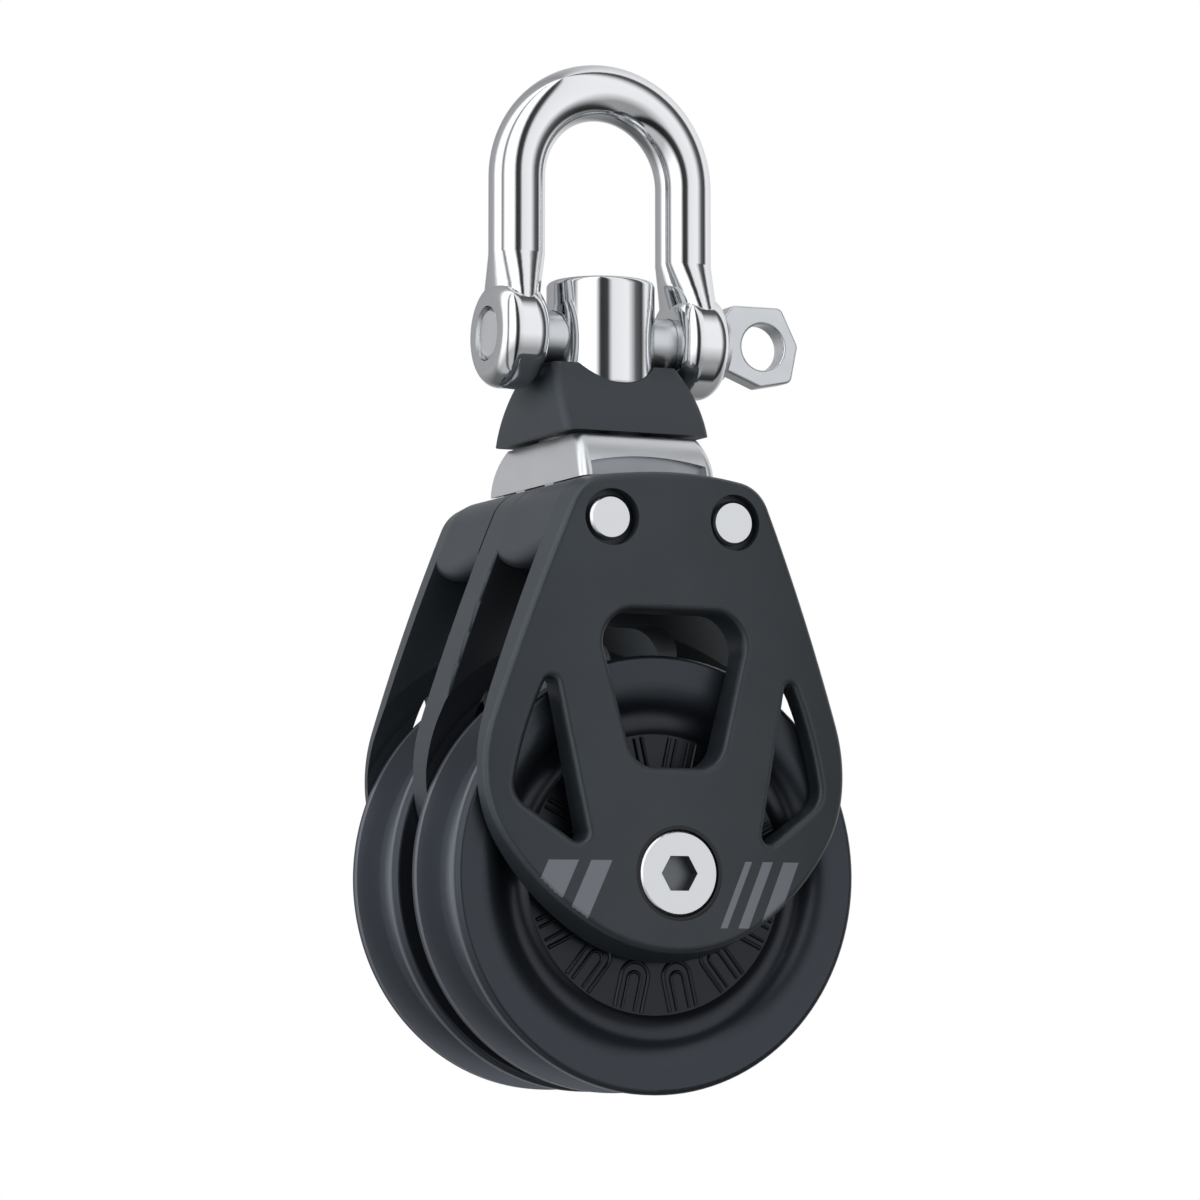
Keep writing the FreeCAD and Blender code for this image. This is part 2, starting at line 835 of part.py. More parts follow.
def outline(scale=1, centre=0):
    """Corners of the pear-shaped plate outline, scaled towards a height on the middle line."""
    centre = as_size(centre)

    def corner(name, arc, side=1):
        x = size(name + "_x") * side if side else as_size(0)
        z = size(name + "_z")
        if name in ("shin", "foot"):
            z = -z
        return x * scale, centre + (z - centre) * scale, size(arc + "_arc") * scale

    names = ["shin", "hip", "belly", "waist", "neck", "brow"]
    rising = ["shin", "hip", "belly", "flank", "neck", "top"]
    falling = ["neck", "flank", "belly", "hip", "shin", "foot"]
    right = [corner(name, arc) for name, arc in zip(names, rising)]
    left = [corner(name, arc, -1) for name, arc in zip(reversed(names), falling)]
    return [*right, corner("top", "top", 0), *left, corner("foot", "foot", 0)]


def windows(name, start, end):
    """Cutters for the centre window and the two side windows."""
    top = (size("window_top_half"), size("window_top"))
    foot = (size("window_foot_half"), size("window_foot"))
    centre = prism(name + "_centre", "XZ", [
        (-foot[0], foot[1]),
        foot,
        top,
        (-top[0], top[1]),
    ], start, end)
    centre_rounded = soften(name + "_centre_rounded", centre, [
        (at_corner(*top), size("window_top_round")),
        (at_corner(*foot), size("window_foot_round")),
    ])
    spots = {spot: (size(spot + "_x"), size(spot + "_z"))
             for spot in ("toe", "cheekbone", "apex")}
    side = prism(name + "_side", "XZ", [
        spots["toe"],
        (*spots["cheekbone"], size("cheekbone_arc")),
        spots["apex"],
    ], start, end)
    right = soften(name + "_right", side, [
        (at_corner(*place), size(spot + "_round")) for spot, place in spots.items()
    ])
    return [centre_rounded, right, mirrored(name + "_left", right, Vector(1, 0, 0))]


def nut_pocket(name):
    """Cutter for the round pocket that the swivel nut turns in."""
    return post(name, half("nut_pocket_dia"), size("nut_pocket_floor"), head_foot + 1)


def crowned_plate():
    """The front cheek's plate: an outline drawn in towards the front, under a leaning crown."""
    blank = doc.addObject("Part::Loft", "cheek_blank")
    blank.Sections = [
        standing_sketch("cheek_back_outline", "XZ", outline(), cheek_inner),
        standing_sketch("cheek_front_outline", "XZ",
                        outline(size("draft_scale"), size("draft_centre")), size("draft_face")),
    ]
    blank.Solid = True
    blank.Ruled = True
    doc.recompute()
    crown = doc.addObject("Part::Cylinder", "cheek_crown")
    lean = size("crown_lean")
    crown.Placement = Placement(Vector(), Rotation(Vector(-1, 0, 0), lean.number))
    reach = size("top_z") * 2
    bind(crown, "Radius", size("crown_arc"))
    bind(crown, "Height", reach * 2)
    bind(crown, "Placement.Base.y",
         (size("crown_arc") - reach * sine_of(lean)) / cosine_of(lean) - size("hub_face"))
    bind(crown, "Placement.Base.z", -reach)
    doc.recompute()
    return common("cheek_crowned", blank, crown)


def shoulder():
    """The solid block that joins the cheek to the middle plate above the sheave."""
    edge = size("shoulder_edge")
    sag = size("shoulder_sag")
    span = (cheek_inner - middle_half) / 2
    arc = (span * span + sag * sag) / 2 / sag
    high = size("top_z") + 5
    width = size("belly_x") + 5
    side = prism("shoulder_side", "YZ", [
        (-cheek_inner, edge, arc),
        (-middle_half, edge),
        (-middle_half, high),
        (-cheek_inner, high),
    ], -width, width)
    bar = prism("shoulder_bar", "XZ", outline(), middle_half, cheek_inner)
    block = common("shoulder", bar, side)

    def under_flank(edge):
        """True for an edge between the underside and a side wall."""
        across = abs(edge.Vertexes[0].Y - edge.Vertexes[-1].Y) > span.number
        return across and middle_of(edge).z < size("brow_z").number - span.number
    return soften("shoulder_rounded", block, [(under_flank, size("shoulder_round"))])


def cheeks():
    """Front cheek: crowned plate with an integral shoulder; the rear cheek is its mirror image."""
    depth = size("draft_face") + 1
    plate = cut("cheek_open", crowned_plate(), windows("cheek_window", cheek_inner - 1, depth))
    crown_r = size("crown_arc").number
    for face in plate.Shape.Faces:
        if isinstance(face.Surface, Part.Cylinder) and face.Surface.Radius == crown_r:
            border = face.OuterWire.Edges
            inside = [edge for edge in face.Edges if not among(border)(edge)]
    bevelled = soften("cheek_bevelled", plate, [
        (among(border), size("face_edge")), (among(inside), size("window_edge"))])
    stage = merge("cheek_joined", [bevelled, shoulder()])
    play = size("leg_play")
    deep = middle_half + size("leg_thick") + play
    high = head_foot + 1
    x, z = size("rivet_x"), size("rivet_z")
    tools = [
        nut_pocket("cheek_nut_pocket"),
        rod("cheek_rim_recess", recess_r, middle_half, cheek_web),
        cone("cheek_rim_lean", lean_r, recess_r, cheek_inner, cheek_web),
        rod("cheek_axle_seat", half("axle_dia"), cheek_inner, axle_end),
        rod("cheek_screw_hole", half("screw_hole_dia"), cheek_inner, bush_seat + 1),
        rod("cheek_bush_seat", bush_r, bush_seat, depth),
    ]
    for name, side in (("left", -1), ("right", 1)):
        low_x, high_x = size("leg_inner") - play, size("leg_outer") + play
        if side < 0:
            low_x, high_x = -high_x, -low_x
        tools.append(brick("leg_slot_" + name, (low_x, -deep, z), (high_x, 0, high)))
        tools.append(rod("leg_slot_eye_" + name, half("leg_eye_dia") + play, 0, deep, x * side, z))
        tools.append(rivet_hole("cheek_rivet_hole_" + name, side))
        tools.append(rod("rivet_recess_" + name, half("rivet_recess_dia"), size("rivet_seat"),
                         depth, x * side, z))
    cheek = cut("front_cheek", stage, tools)
    keep("front_cheek", cheek, axle_level)
    rear = mirrored("rear_cheek", cheek, Vector(0, 1, 0))
    rear.Label = "rear_cheek"
    parts["rear_cheek"] = rear


def middle_plate():
    """Plate between the sheaves, thinned where it faces them."""
    slab = prism("middle_slab", "XZ", outline(), -middle_half, middle_half)

    def around_a_face(edge):
        """True for an edge that lies in one of the slab's two faces."""
        return abs(abs(middle_of(edge).y) - middle_half.number) < 0.001

    blank = soften("middle_blank", slab, [(around_a_face, size("middle_edge"))])
    far = middle_half + 1
    tools = windows("middle_window", -far, far)
    tools += [
        nut_pocket("middle_nut_pocket"),
        rod("middle_axle_hole", half("axle_dia"), -far, far),
        rod("middle_front_recess", recess_r, middle_web, far),
        rod("middle_back_recess", recess_r, -far, -middle_web),
        cone("middle_front_lean", recess_r, lean_r, middle_web, middle_half),
        cone("middle_back_lean", lean_r, recess_r, -middle_half, -middle_web),
        rivet_hole("middle_rivet_hole_left", -1),
        rivet_hole("middle_rivet_hole_right", 1),
    ]
    keep("middle_plate", cut("middle_plate", blank, tools), axle_level)


def along_axle(label, corners, offset=0, forward=False, x=0, level=axle_level):
    """A turned piece whose own axis lies along Y; corners are (radius, distance)."""
    body = new_body(label)
    body.Placement = Placement(Vector(), Rotation(Vector(1, 0, 0), 90 if forward else -90))
    turn(body, label + "_profile", corners)
    bind(body, "Placement.Base.x", x)
    bind(body, "Placement.Base.y", offset)
    keep(label, body, level)
    return body


def sheave_bore():
    """Radii of the sleeve bearing: the bore that runs on the axle, and the outside."""
    bore = half("axle_dia") + size("axle_clearance")
    return bore, bore + size("sleeve_wall")


def bow_radius(run, rise, sag):
    """Radius of an arc whose chord has the given run and rise and whose height is the sag."""
    return ((run * run + rise * rise) / 4 + sag * sag) / 2 / sag


def sheave(label, offset):
    """Grooved wheel whose faces dish softly from the rim into a trough around the web."""
    wide = half("sheave_width")
    rim = half("sheave_dia")
    edge = size("rim_round")
    lip = wide - size("lip_width")
    flank_x = rim - size("flank_depth")
    flank = lip - size("flank_step")
    floor = rim - size("groove_depth")
    groove_arc = bow_radius(as_size(0), flank * 2, flank_x - floor)
    dish = [
        (rim - size("web_inset"), wide - size("web_sink")),
        (rim - size("trough_lip_inset"), wide - size("trough_lip_sink")),
        (rim - size("face_inset"), wide - size("face_sink")),
    ]
    trough_arc, face_arc = [
        bow_radius(far[0] - near[0], far[1] - near[1], size(sag))
        for near, far, sag in zip(dish, dish[1:], ("trough_sag", "face_sag"))]
    upper = [
        (sheave_bore()[1], wide),
        (half("hub_dia"), wide),
        (half("hub_dia"), wide - size("web_sink")),
        *dish,
        (rim - edge, wide),
        (rim, wide - edge),
        (rim, lip),
        (flank_x, flank),
    ]
    lower = [(radius, -distance) for radius, distance in upper]
    lower[3] += (-trough_arc,)
    lower[4] += (face_arc,)
    lower[6] += (edge,)
    lower[-1] += (-groove_arc,)
    upper[4] += (-trough_arc,)
    upper[5] += (face_arc,)
    upper[7] += (edge,)
    floor_point = (floor, 0, -groove_arc)
    along_axle(label, [*lower, floor_point, *reversed(upper)], offset)


def sleeve(label, offset):
    """Plain bearing pressed into a sheave."""
    wide = half("sheave_width")
    inner, outer = sheave_bore()
    along_axle(label, [(inner, -wide), (outer, -wide), (outer, wide), (inner, wide)], offset)


def hub_washer(label, start):
    """Thrust washer on the axle; start is its distance along Y from the middle."""
    end = start + size("hub_washer_thick")
    inner = half("axle_dia") + size("axle_clearance")
    outer = half("hub_washer_dia")
    along_axle(label, [(inner, start), (outer, start), (outer, end), (inner, end)])


def axle_tube():
    """Tube that carries both sheaves, held between the cheeks."""
    inner, outer = half("axle_bore"), half("axle_dia")
    along_axle("axle_tube", [
        (inner, -axle_end),
        (outer, -axle_end),
        (outer, axle_end),
        (inner, axle_end),
    ])


def axle_screw(label, forward):
    """Flush screw with a hexagon socket, turned into one end of the axle tube."""
    head_r = half("screw_head_dia")
    face = screw_seat + size("screw_head_height")
    chamfer = size("screw_chamfer")
    body = along_axle(label, [
        (0, screw_seat - size("screw_length")),
        (half("screw_dia"), screw_seat - size("screw_length")),
        (half("screw_dia"), screw_seat),
        (head_r, screw_seat),
        (head_r, face - chamfer),
        (head_r - chamfer, face),
        (0, face),
    ], forward=forward)
    socket = new_sketch(body, label + "_socket", "XY_Plane", face)
    draw(socket, hexagon(size("socket_across")))
    pocket(body, socket, size("socket_depth"))


def screw_bush(label, forward):
    """Dark cup around the head of an axle screw."""
    inner = half("screw_head_dia") + size("bush_play")
    rim = size("hub_face") - size("bush_sink")
    along_axle(label, [
        (half("screw_hole_dia"), bush_seat),
        (bush_r, bush_seat),
        (bush_r, rim),
        (inner, rim),
        (inner, screw_seat),
        (half("screw_hole_dia"), screw_seat),
    ], forward=forward)


def head_rivet(label, side):
    """Rivet from cheek to cheek with a flat head at each end."""
    shank, head = half("rivet_dia"), half("rivet_head_dia")
    seat = size("rivet_seat")
    face = seat + size("rivet_head_height")
    chamfer = size("rivet_chamfer")
    upper = [(shank, seat), (head, seat), (head, face - chamfer), (head - chamfer, face), (0, face)]
    lower = [(radius, -distance) for radius, distance in reversed(upper)]
    along_axle(label, [*lower, *upper], x=size("rivet_x") * side,
               level=axle_level + size("rivet_z"))


shackle_bow()
shackle_pin()
swivel_eye()
ring("swivel_washer", half("stud_dia"), half("washer_dia"), washer_foot, washer_top)
ring("swivel_thrust_washer", half("stud_dia"), half("thrust_dia"), nut_top, thrust_top)
swivel_nut()
swivel_boot()
head_plate()
cheeks()
middle_plate()
head_rivet("head_rivet_left", -1)
head_rivet("head_rivet_right", 1)
axle_tube()
for place, facing in (("front", -1), ("rear", 1)):
    sheave(place + "_sheave", sheave_offset * facing)
    sleeve(place + "_sleeve_bearing", sheave_offset * facing)
    axle_screw(place + "_axle_screw", facing < 0)
    screw_bush(place + "_screw_bush", facing < 0)
    outer_start, inner_start = cheek_web - size("hub_washer_thick"), middle_web
    if facing < 0:
        outer_start, inner_start = -cheek_web, -hub_inner + size("hub_gap")
    hub_washer(place + "_outer_washer", outer_start)
    hub_washer(place + "_inner_washer", inner_start)

doc.recompute()
for item in doc.Objects:
    if "Invalid" in item.State or "Error" in item.State:
        raise RuntimeError(f"{item.Name} did not build")
for label, item in parts.items():
    shape = item.Shape
    if shape.isNull() or not shape.isValid() or len(shape.Solids) != 1:
        raise RuntimeError(f"{label} isn't one valid solid")
    shape.exportStep(f"parts/{label}.step")
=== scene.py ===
"""Looks of the double swivel block: finishes, printed bars, sheave ribs, studio and camera.

Lengths are metres in the row frame: the origin is the inner crown of the shackle bow, the
shackle pin lies along X, the sheave axle along Y, and the block hangs down along -Z.
"""
import json
import math

import bpy
import numpy as np
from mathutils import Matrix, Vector

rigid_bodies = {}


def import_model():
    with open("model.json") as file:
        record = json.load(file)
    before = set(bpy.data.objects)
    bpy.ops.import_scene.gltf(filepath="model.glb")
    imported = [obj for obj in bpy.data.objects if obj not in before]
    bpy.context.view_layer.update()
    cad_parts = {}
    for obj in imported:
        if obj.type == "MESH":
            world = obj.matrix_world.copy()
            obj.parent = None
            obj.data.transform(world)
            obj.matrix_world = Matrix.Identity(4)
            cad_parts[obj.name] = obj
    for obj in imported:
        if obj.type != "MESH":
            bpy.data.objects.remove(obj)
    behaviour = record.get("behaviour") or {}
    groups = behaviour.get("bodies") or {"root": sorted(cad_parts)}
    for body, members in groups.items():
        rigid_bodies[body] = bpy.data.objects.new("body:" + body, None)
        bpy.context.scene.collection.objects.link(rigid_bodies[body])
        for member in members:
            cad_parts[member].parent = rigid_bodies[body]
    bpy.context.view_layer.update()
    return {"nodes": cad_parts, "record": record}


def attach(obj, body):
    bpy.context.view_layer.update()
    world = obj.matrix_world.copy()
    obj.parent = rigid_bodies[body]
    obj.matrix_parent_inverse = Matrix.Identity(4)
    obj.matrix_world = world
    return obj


for leftover in list(bpy.data.objects):
    bpy.data.objects.remove(leftover)
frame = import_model()
scene = bpy.context.scene

MM = 0.001

# Places on the CAD pieces; those along Y count from the middle plate to either side.
AXLE_Z = -107.65 * MM
RIVET_X = 9.3 * MM
RIVET_Z = AXLE_Z + 48.2 * MM
SHEAVE_Y = 10.95 * MM
INNER_FACES_Y = 18.5 * MM
OUTER_FACE_Y = 21.0 * MM
ARCH_FLOOR_Y = (14.3 * MM, 14.5 * MM)
SCREW_FACE_Y = 25.3 * MM
SOCKET_RADIUS = 2.9 * MM

# Bars printed on the cheeks: where each starts across the face, and its width.
BARS = ((-19.5, 4.2), (-13.6, 3.0), (9.4, 1.1), (12.2, 1.7), (15.6, 2.6))
BAR_SLANT = 0.45
BAR_BAND = (-7.4 * MM, 1.7 * MM)

# Sheave zones, as distances from the axle and from the sheave's middle.
WEB_RADIUS = (20.0 * MM, 23.0 * MM)
GROOVE_RADIUS = 21.5 * MM
GROOVE_EDGE = (7.1 * MM, 6.7 * MM)

# Ribs on the sheave webs: nested arches, each with the radius of its closed end, half its
# width and its thickness.
WEB_Y = 6.8 * MM
RIB_PAIRS = 14
RIB_ARCHES = ((12.2, 2.05, 0.7), (13.6, 0.95, 0.55))
RIB_OUTER = 18.8 * MM
RIB_HEIGHT = 0.4 * MM
RIB_SINK = 0.03 * MM
RIB_ROOT = 0.3 * MM

FLOOR_Z = -0.2
FLOOR_RADIUS = 0.45
FLOOR_PLAIN = 0.08
FLOOR_SIDES = 96


# Materials


def rgb(hex_code):
    """Linear colour of an sRGB hex code."""
    channels = [int(hex_code[i:i + 2], 16) / 255 for i in (1, 3, 5)]
    linear = [c / 12.92 if c <= 0.04045 else ((c + 0.055) / 1.055) ** 2.4 for c in channels]
    return (*linear, 1.0)


def new_material(name):
    """A material with an empty node tree."""
    material = bpy.data.materials.new(name)
    material.use_nodes = True
    material.node_tree.nodes.clear()
    return material


def add(owner, kind, inputs=(), out=0, **settings):
    """Adds one node with its settings, values and links, and returns one output socket.

    inputs are values or other nodes' sockets, in the sockets' order or keyed by socket.
    """
    node = owner.node_tree.nodes.new("ShaderNode" + kind)
    for key, value in settings.items():
        setattr(node, key, value)
    for key, value in inputs.items() if isinstance(inputs, dict) else enumerate(inputs):
        if isinstance(value, bpy.types.NodeSocket):
            owner.node_tree.links.new(value, node.inputs[key])
        else:
            node.inputs[key].default_value = value
    return node.outputs[out] if len(node.outputs) else None


def place(owner):
    """The three coordinates in the piece's own axes."""
    own = add(owner, "TexCoord", out="Object")
    return add(owner, "SeparateXYZ", (own,)).node.outputs


def along_axle(owner):
    """How far a face looks along the piece's own Y: 1 or -1 square to the axle, 0 beside it."""
    world = add(owner, "NewGeometry", out="True Normal")
    own = add(owner, "VectorTransform", (world,), vector_type="NORMAL",
              convert_from="WORLD", convert_to="OBJECT")
    return add(owner, "SeparateXYZ", (own,), out=1)


def off_axis(owner, across, up):
    """Distance from an axis: the root of the sum of both squares."""
    squares = [add(owner, "Math", (side, 2.0), operation="POWER") for side in (across, up)]
    return add(owner, "Math", (add(owner, "Math", squares, operation="ADD"),), operation="SQRT")


def between(owner, value, low, high):
    """1 where low < value < high, with soft edges 0.04 mm wide."""
    away = add(owner, "Math", (value, (low + high) / 2), operation="SUBTRACT")
    away = add(owner, "Math", (away,), operation="ABSOLUTE")
    room = add(owner, "Math", ((high - low) / 2, away), operation="SUBTRACT")
    return add(owner, "MapRange", {"Value": room, "From Min": 0.0, "From Max": 0.04 * MM})


def grain(owner, size_mm, detail=3.0):
    """Noise with features of the given size, the same in every direction."""
    own = add(owner, "TexCoord", out="Object")
    return add(owner, "TexNoise", {"Vector": own, "Scale": 1 / (size_mm * MM), "Detail": detail})


def lathe_rings(owner, radius, pitch_mm):
    """Noise that changes only with the distance from the lathe's axis."""
    turns = add(owner, "Math", (radius, 1 / (pitch_mm * MM)), operation="MULTIPLY")
    return add(owner, "TexNoise", {"W": turns, "Scale": 1.0, "Detail": 2.0},
               noise_dimensions="1D")


def surface(material, colour, metallic, roughness, bump=None, depth_mm=0.01, **more):
    """Closes a material with a Principled shader and an optional bump of a given depth."""
    inputs = {"Base Color": colour, "Metallic": metallic, "Roughness": roughness, **more}
    if bump is not None:
        inputs["Normal"] = add(material, "Bump", {
            "Height": bump, "Distance": depth_mm * MM, "Strength": 1.0})
    add(material, "OutputMaterial", {"Surface": add(material, "BsdfPrincipled", inputs)})
    return material


def anodised_plate():
    """Bead-blasted aluminium, anodised near-black, with pale slanted bars printed on the faces.

    Blasting makes it even and matt.  Its pits, a tenth of a millimetre or finer, are drawn at
    0.22 mm so that they show.  The faces towards the sheaves are painted darker, as painted
    shade.
    """
    m = new_material("bead_blasted_black_anodised_aluminium")
    x, y, z = place(m)
    square = add(m, "Math", (along_axle(m),), operation="ABSOLUTE")
    face = add(m, "Math", (square, 0.9), operation="GREATER_THAN")
    depth = add(m, "Math", (y,), operation="ABSOLUTE")

    outer = add(m, "Math", (depth, OUTER_FACE_Y), operation="GREATER_THAN")
    outer = add(m, "Math", (face, outer), operation="MULTIPLY")
    front = add(m, "Math", (add(m, "Math", (y, -1.0), operation="MULTIPLY"),), operation="SIGN")
    across = add(m, "Math", (x, front), operation="MULTIPLY")
    height = add(m, "Math", (z, AXLE_Z), operation="SUBTRACT")
    slant = add(m, "Math", (height, BAR_SLANT), operation="MULTIPLY")
    across = add(m, "Math", (across, slant), operation="SUBTRACT")
    bars = 0.0
    for start, width in BARS:
        bar = between(m, across, start * MM, (start + width) * MM)
        bars = add(m, "Math", (bars, bar), operation="MAXIMUM")
    bars = add(m, "Math", (bars, between(m, height, *BAR_BAND)), operation="MULTIPLY")
    bars = add(m, "Math", (bars, outer), operation="MULTIPLY")
    bars = add(m, "Math", (bars, 0.85), operation="MULTIPLY")

    # Painted shade: plate faces towards the sheaves, inside INNER_FACES_Y, get a darker colour.
    inner = add(m, "Math", (depth, INNER_FACES_Y), operation="LESS_THAN")
    inner = add(m, "Math", (face, inner), operation="MULTIPLY")
    colour = add(m, "Mix", {0: grain(m, 9.0, 2.0), 6: rgb("#2e3439"), 7: rgb("#383f44")},
                 out=2, data_type="RGBA")
    colour = add(m, "Mix", {0: inner, 6: colour, 7: rgb("#22262b")}, out=2, data_type="RGBA")
    colour = add(m, "Mix", {0: bars, 6: colour, 7: rgb("#7f838a")}, out=2, data_type="RGBA")
    fine = grain(m, 0.22)
    rough = add(m, "Math", (fine, 0.10, 0.36), operation="MULTIPLY_ADD")
    return surface(m, colour, 0.35, rough, fine, 0.004)


def anodised_sheave():
    """Turned aluminium, hard-anodised black: a soft sheen with faint lathe rings.

    Painted shade darkens the web, and a painted highlight makes the groove's flanks paler.
    """
    m = new_material("turned_hard_anodised_aluminium")
    x, y, z = place(m)
    height = add(m, "Math", (z, AXLE_Z), operation="SUBTRACT")
    radius = off_axis(m, x, height)
    # Painted shade: the web, inside WEB_RADIUS, is painted a darker black than the rim.
    rim = add(m, "MapRange", {
        "Value": radius, "From Min": WEB_RADIUS[0], "From Max": WEB_RADIUS[1]})
    colour = add(m, "Mix", {0: rim, 6: rgb("#1f2228"), 7: rgb("#343940")},
                 out=2, data_type="RGBA")

    # Painted highlight: the groove's inner flanks beyond GROOVE_RADIUS are painted paler.
    aside = add(m, "Math", (add(m, "Math", (y,), operation="ABSOLUTE"), SHEAVE_Y),
                operation="SUBTRACT")
    outward = add(m, "Math", (along_axle(m), add(m, "Math", (y,), operation="SIGN")),
                  operation="MULTIPLY")
    looks_out = add(m, "Math", (aside, outward), operation="MULTIPLY")
    looks_in = add(m, "Math", (looks_out, 1.0 * MM), operation="LESS_THAN")
    groove = add(m, "MapRange", {
        "Value": add(m, "Math", (aside,), operation="ABSOLUTE"),
        "From Min": GROOVE_EDGE[0], "From Max": GROOVE_EDGE[1]})
    groove_highlight = add(m, "Math", (groove, looks_in), operation="MULTIPLY")
    beyond = add(m, "Math", (radius, GROOVE_RADIUS), operation="GREATER_THAN")
    groove_highlight = add(m, "Math", (groove_highlight, beyond), operation="MULTIPLY")
    colour = add(m, "Mix", {0: groove_highlight, 6: colour, 7: rgb("#6c727a")}, out=2, data_type="RGBA")
    rings = lathe_rings(m, radius, 0.12)
    rough = add(m, "Math", (rings, 0.10, 0.29), operation="MULTIPLY_ADD")
    return surface(m, colour, 0.6, rough, rings, 0.002)


def polished_steel():
    """Mirror-polished stainless steel: sharp reflections with a trace of polishing haze."""
    m = new_material("mirror_polished_stainless_steel")
    rough = add(m, "Math", (grain(m, 3.0, 4.0), 0.05, 0.075), operation="MULTIPLY_ADD")
    return surface(m, rgb("#d3d5d7"), 1.0, rough)


def satin_steel():
    """Satin stainless steel; painted light on the sides, painted shade on the faces and arch
    floor.
    """
    m = new_material("satin_stainless_steel")
    # Painted light: faces beside the axle are painted brighter than faces square to it.
    square = add(m, "Math", (along_axle(m),), operation="ABSOLUTE")
    flat = add(m, "Math", (square, 0.98), operation="GREATER_THAN")
    depth = add(m, "Math", (place(m)[1],), operation="ABSOLUTE")
    # Painted shade: the arch's floor is painted dark.
    floor = add(m, "Math", (flat, between(m, depth, *ARCH_FLOOR_Y)), operation="MULTIPLY")
    colour = add(m, "Mix", {0: square, 6: rgb("#e6e8ea"), 7: rgb("#c6c9cc")},
                 out=2, data_type="RGBA")
    colour = add(m, "Mix", {0: floor, 6: colour, 7: rgb("#8b8f94")}, out=2, data_type="RGBA")
    rough = add(m, "Math", (grain(m, 4.0), 0.12, 0.30), operation="MULTIPLY_ADD")
    return surface(m, colour, 1.0, rough, grain(m, 0.12), 0.0015)


def turned_steel(name, centre_x, centre_z, face_y=None):
    """Face-turned stainless steel: fine rings around an axis along Y.

    Below face_y, in a socket around the axis, it is rougher, and painted dark as painted shade.
    """
    m = new_material(name)
    x, y, z = place(m)
    radius = off_axis(m, add(m, "Math", (x, centre_x), operation="SUBTRACT"),
                      add(m, "Math", (z, centre_z), operation="SUBTRACT"))
    rings = lathe_rings(m, radius, 0.10)
    rough = add(m, "Math", (rings, 0.14, 0.14), operation="MULTIPLY_ADD")
    colour = rgb("#c3c5c7")
    if face_y is not None:
        # Painted shade: inside the socket the steel is painted darker.
        depth = add(m, "Math", (y,), operation="ABSOLUTE")
        below = add(m, "Math", (depth, face_y - 0.15 * MM), operation="LESS_THAN")
        near = add(m, "Math", (radius, SOCKET_RADIUS), operation="LESS_THAN")
        socket = add(m, "Math", (below, near), operation="MULTIPLY")
        rough = add(m, "Math", (socket, 0.25, rough), operation="MULTIPLY_ADD")
        colour = add(m, "Mix", {0: socket, 6: colour, 7: rgb("#6b6e72")},
                     out=2, data_type="RGBA")
    return surface(m, colour, 1.0, rough, rings, 0.003)


def moulded(name, colour, roughness, grain_mm):
    """Plastic with the fine, even texture of its mould or of the cutting tool."""
    m = new_material(name)
    return surface(m, rgb(colour), 0.0, roughness, grain(m, grain_mm), 0.006, IOR=1.46)


BLACK_SHEAVE = anodised_sheave()
FINISHES = {
    "polished_steel": polished_steel(),
    "satin_steel": satin_steel(),
    "machined_steel": turned_steel("face_turned_stainless_steel", 0.0, AXLE_Z, SCREW_FACE_Y),
    "black_plate": anodised_plate(),
    "black_sheave": BLACK_SHEAVE,
    "boot_plastic": moulded("moulded_grey_nylon", "#292f34", 0.52, 0.35),
    "bush_plastic": moulded("moulded_black_nylon", "#17181b", 0.5, 0.3),
    "bearing_plastic": moulded("machined_black_acetal", "#2b2c2f", 0.4, 0.4),
}


def paint(obj, material):
    """Gives an object one material."""
    obj.data.materials.clear()
    obj.data.materials.append(material)


for subpart in frame["record"]["subparts"]:
    paint(frame["nodes"][subpart["node"]], FINISHES[subpart["material_slot"]])
for side, sign in (("left", -1), ("right", 1)):
    rivet = frame["nodes"]["head_rivet_" + side]
    rivet.data.materials[0] = turned_steel("turned_rivet_" + side, sign * RIVET_X, RIVET_Z)


# Sheave ribs


def arch_rib(inner, half_width, thickness):
    """One raised rib shaped like an arch whose closed end faces the hub.

    In the plane of the web, u runs outwards from the axle and v across.  The centre line comes
    in along v = -half_width, turns a half circle and goes out along v = +half_width.  Across
    it the rib rises as its height times the cosine of the offset from the centre line, and two
    points sunk into the web close each section.
    """
    turn = np.linspace(-math.pi / 2, math.pi / 2, 15)
    line_u = np.concatenate([[RIB_OUTER], inner + half_width * (1 - np.cos(turn)), [RIB_OUTER]])
    line_v = np.concatenate([[-half_width], half_width * np.sin(turn), [half_width]])
    slope = np.stack([np.gradient(line_u), np.gradient(line_v)], 1)
    slope /= np.linalg.norm(slope, axis=1)[:, None]
    crown = np.linspace(-1, 1, 7)
    across = np.concatenate([crown, [1, -1]]) * thickness / 2
    u = line_u[:, None] - slope[:, 1:2] * across
    v = line_v[:, None] + slope[:, 0:1] * across
    section = np.concatenate([RIB_HEIGHT * np.cos(crown * math.pi / 2) - RIB_SINK,
                              [-RIB_ROOT, -RIB_ROOT]])
    return u, v, np.broadcast_to(section, u.shape)


def bar_faces(rows, columns, offset, turned):
    """Faces of a closed bar: rows of sections, each a ring of columns points, and two ends."""
    row, column = np.meshgrid(np.arange(rows - 1), np.arange(columns), indexing="ij")
    first = (row * columns + column).ravel() + offset
    after = (row * columns + (column + 1) % columns).ravel() + offset
    sides = np.stack([first, first + columns, after + columns, after], 1).tolist()
    start = (np.arange(columns) + offset).tolist()
    end = (np.arange(columns)[::-1] + offset + (rows - 1) * columns).tolist()
    faces = sides + [start, end]
    return [face[::-1] for face in faces] if turned else faces


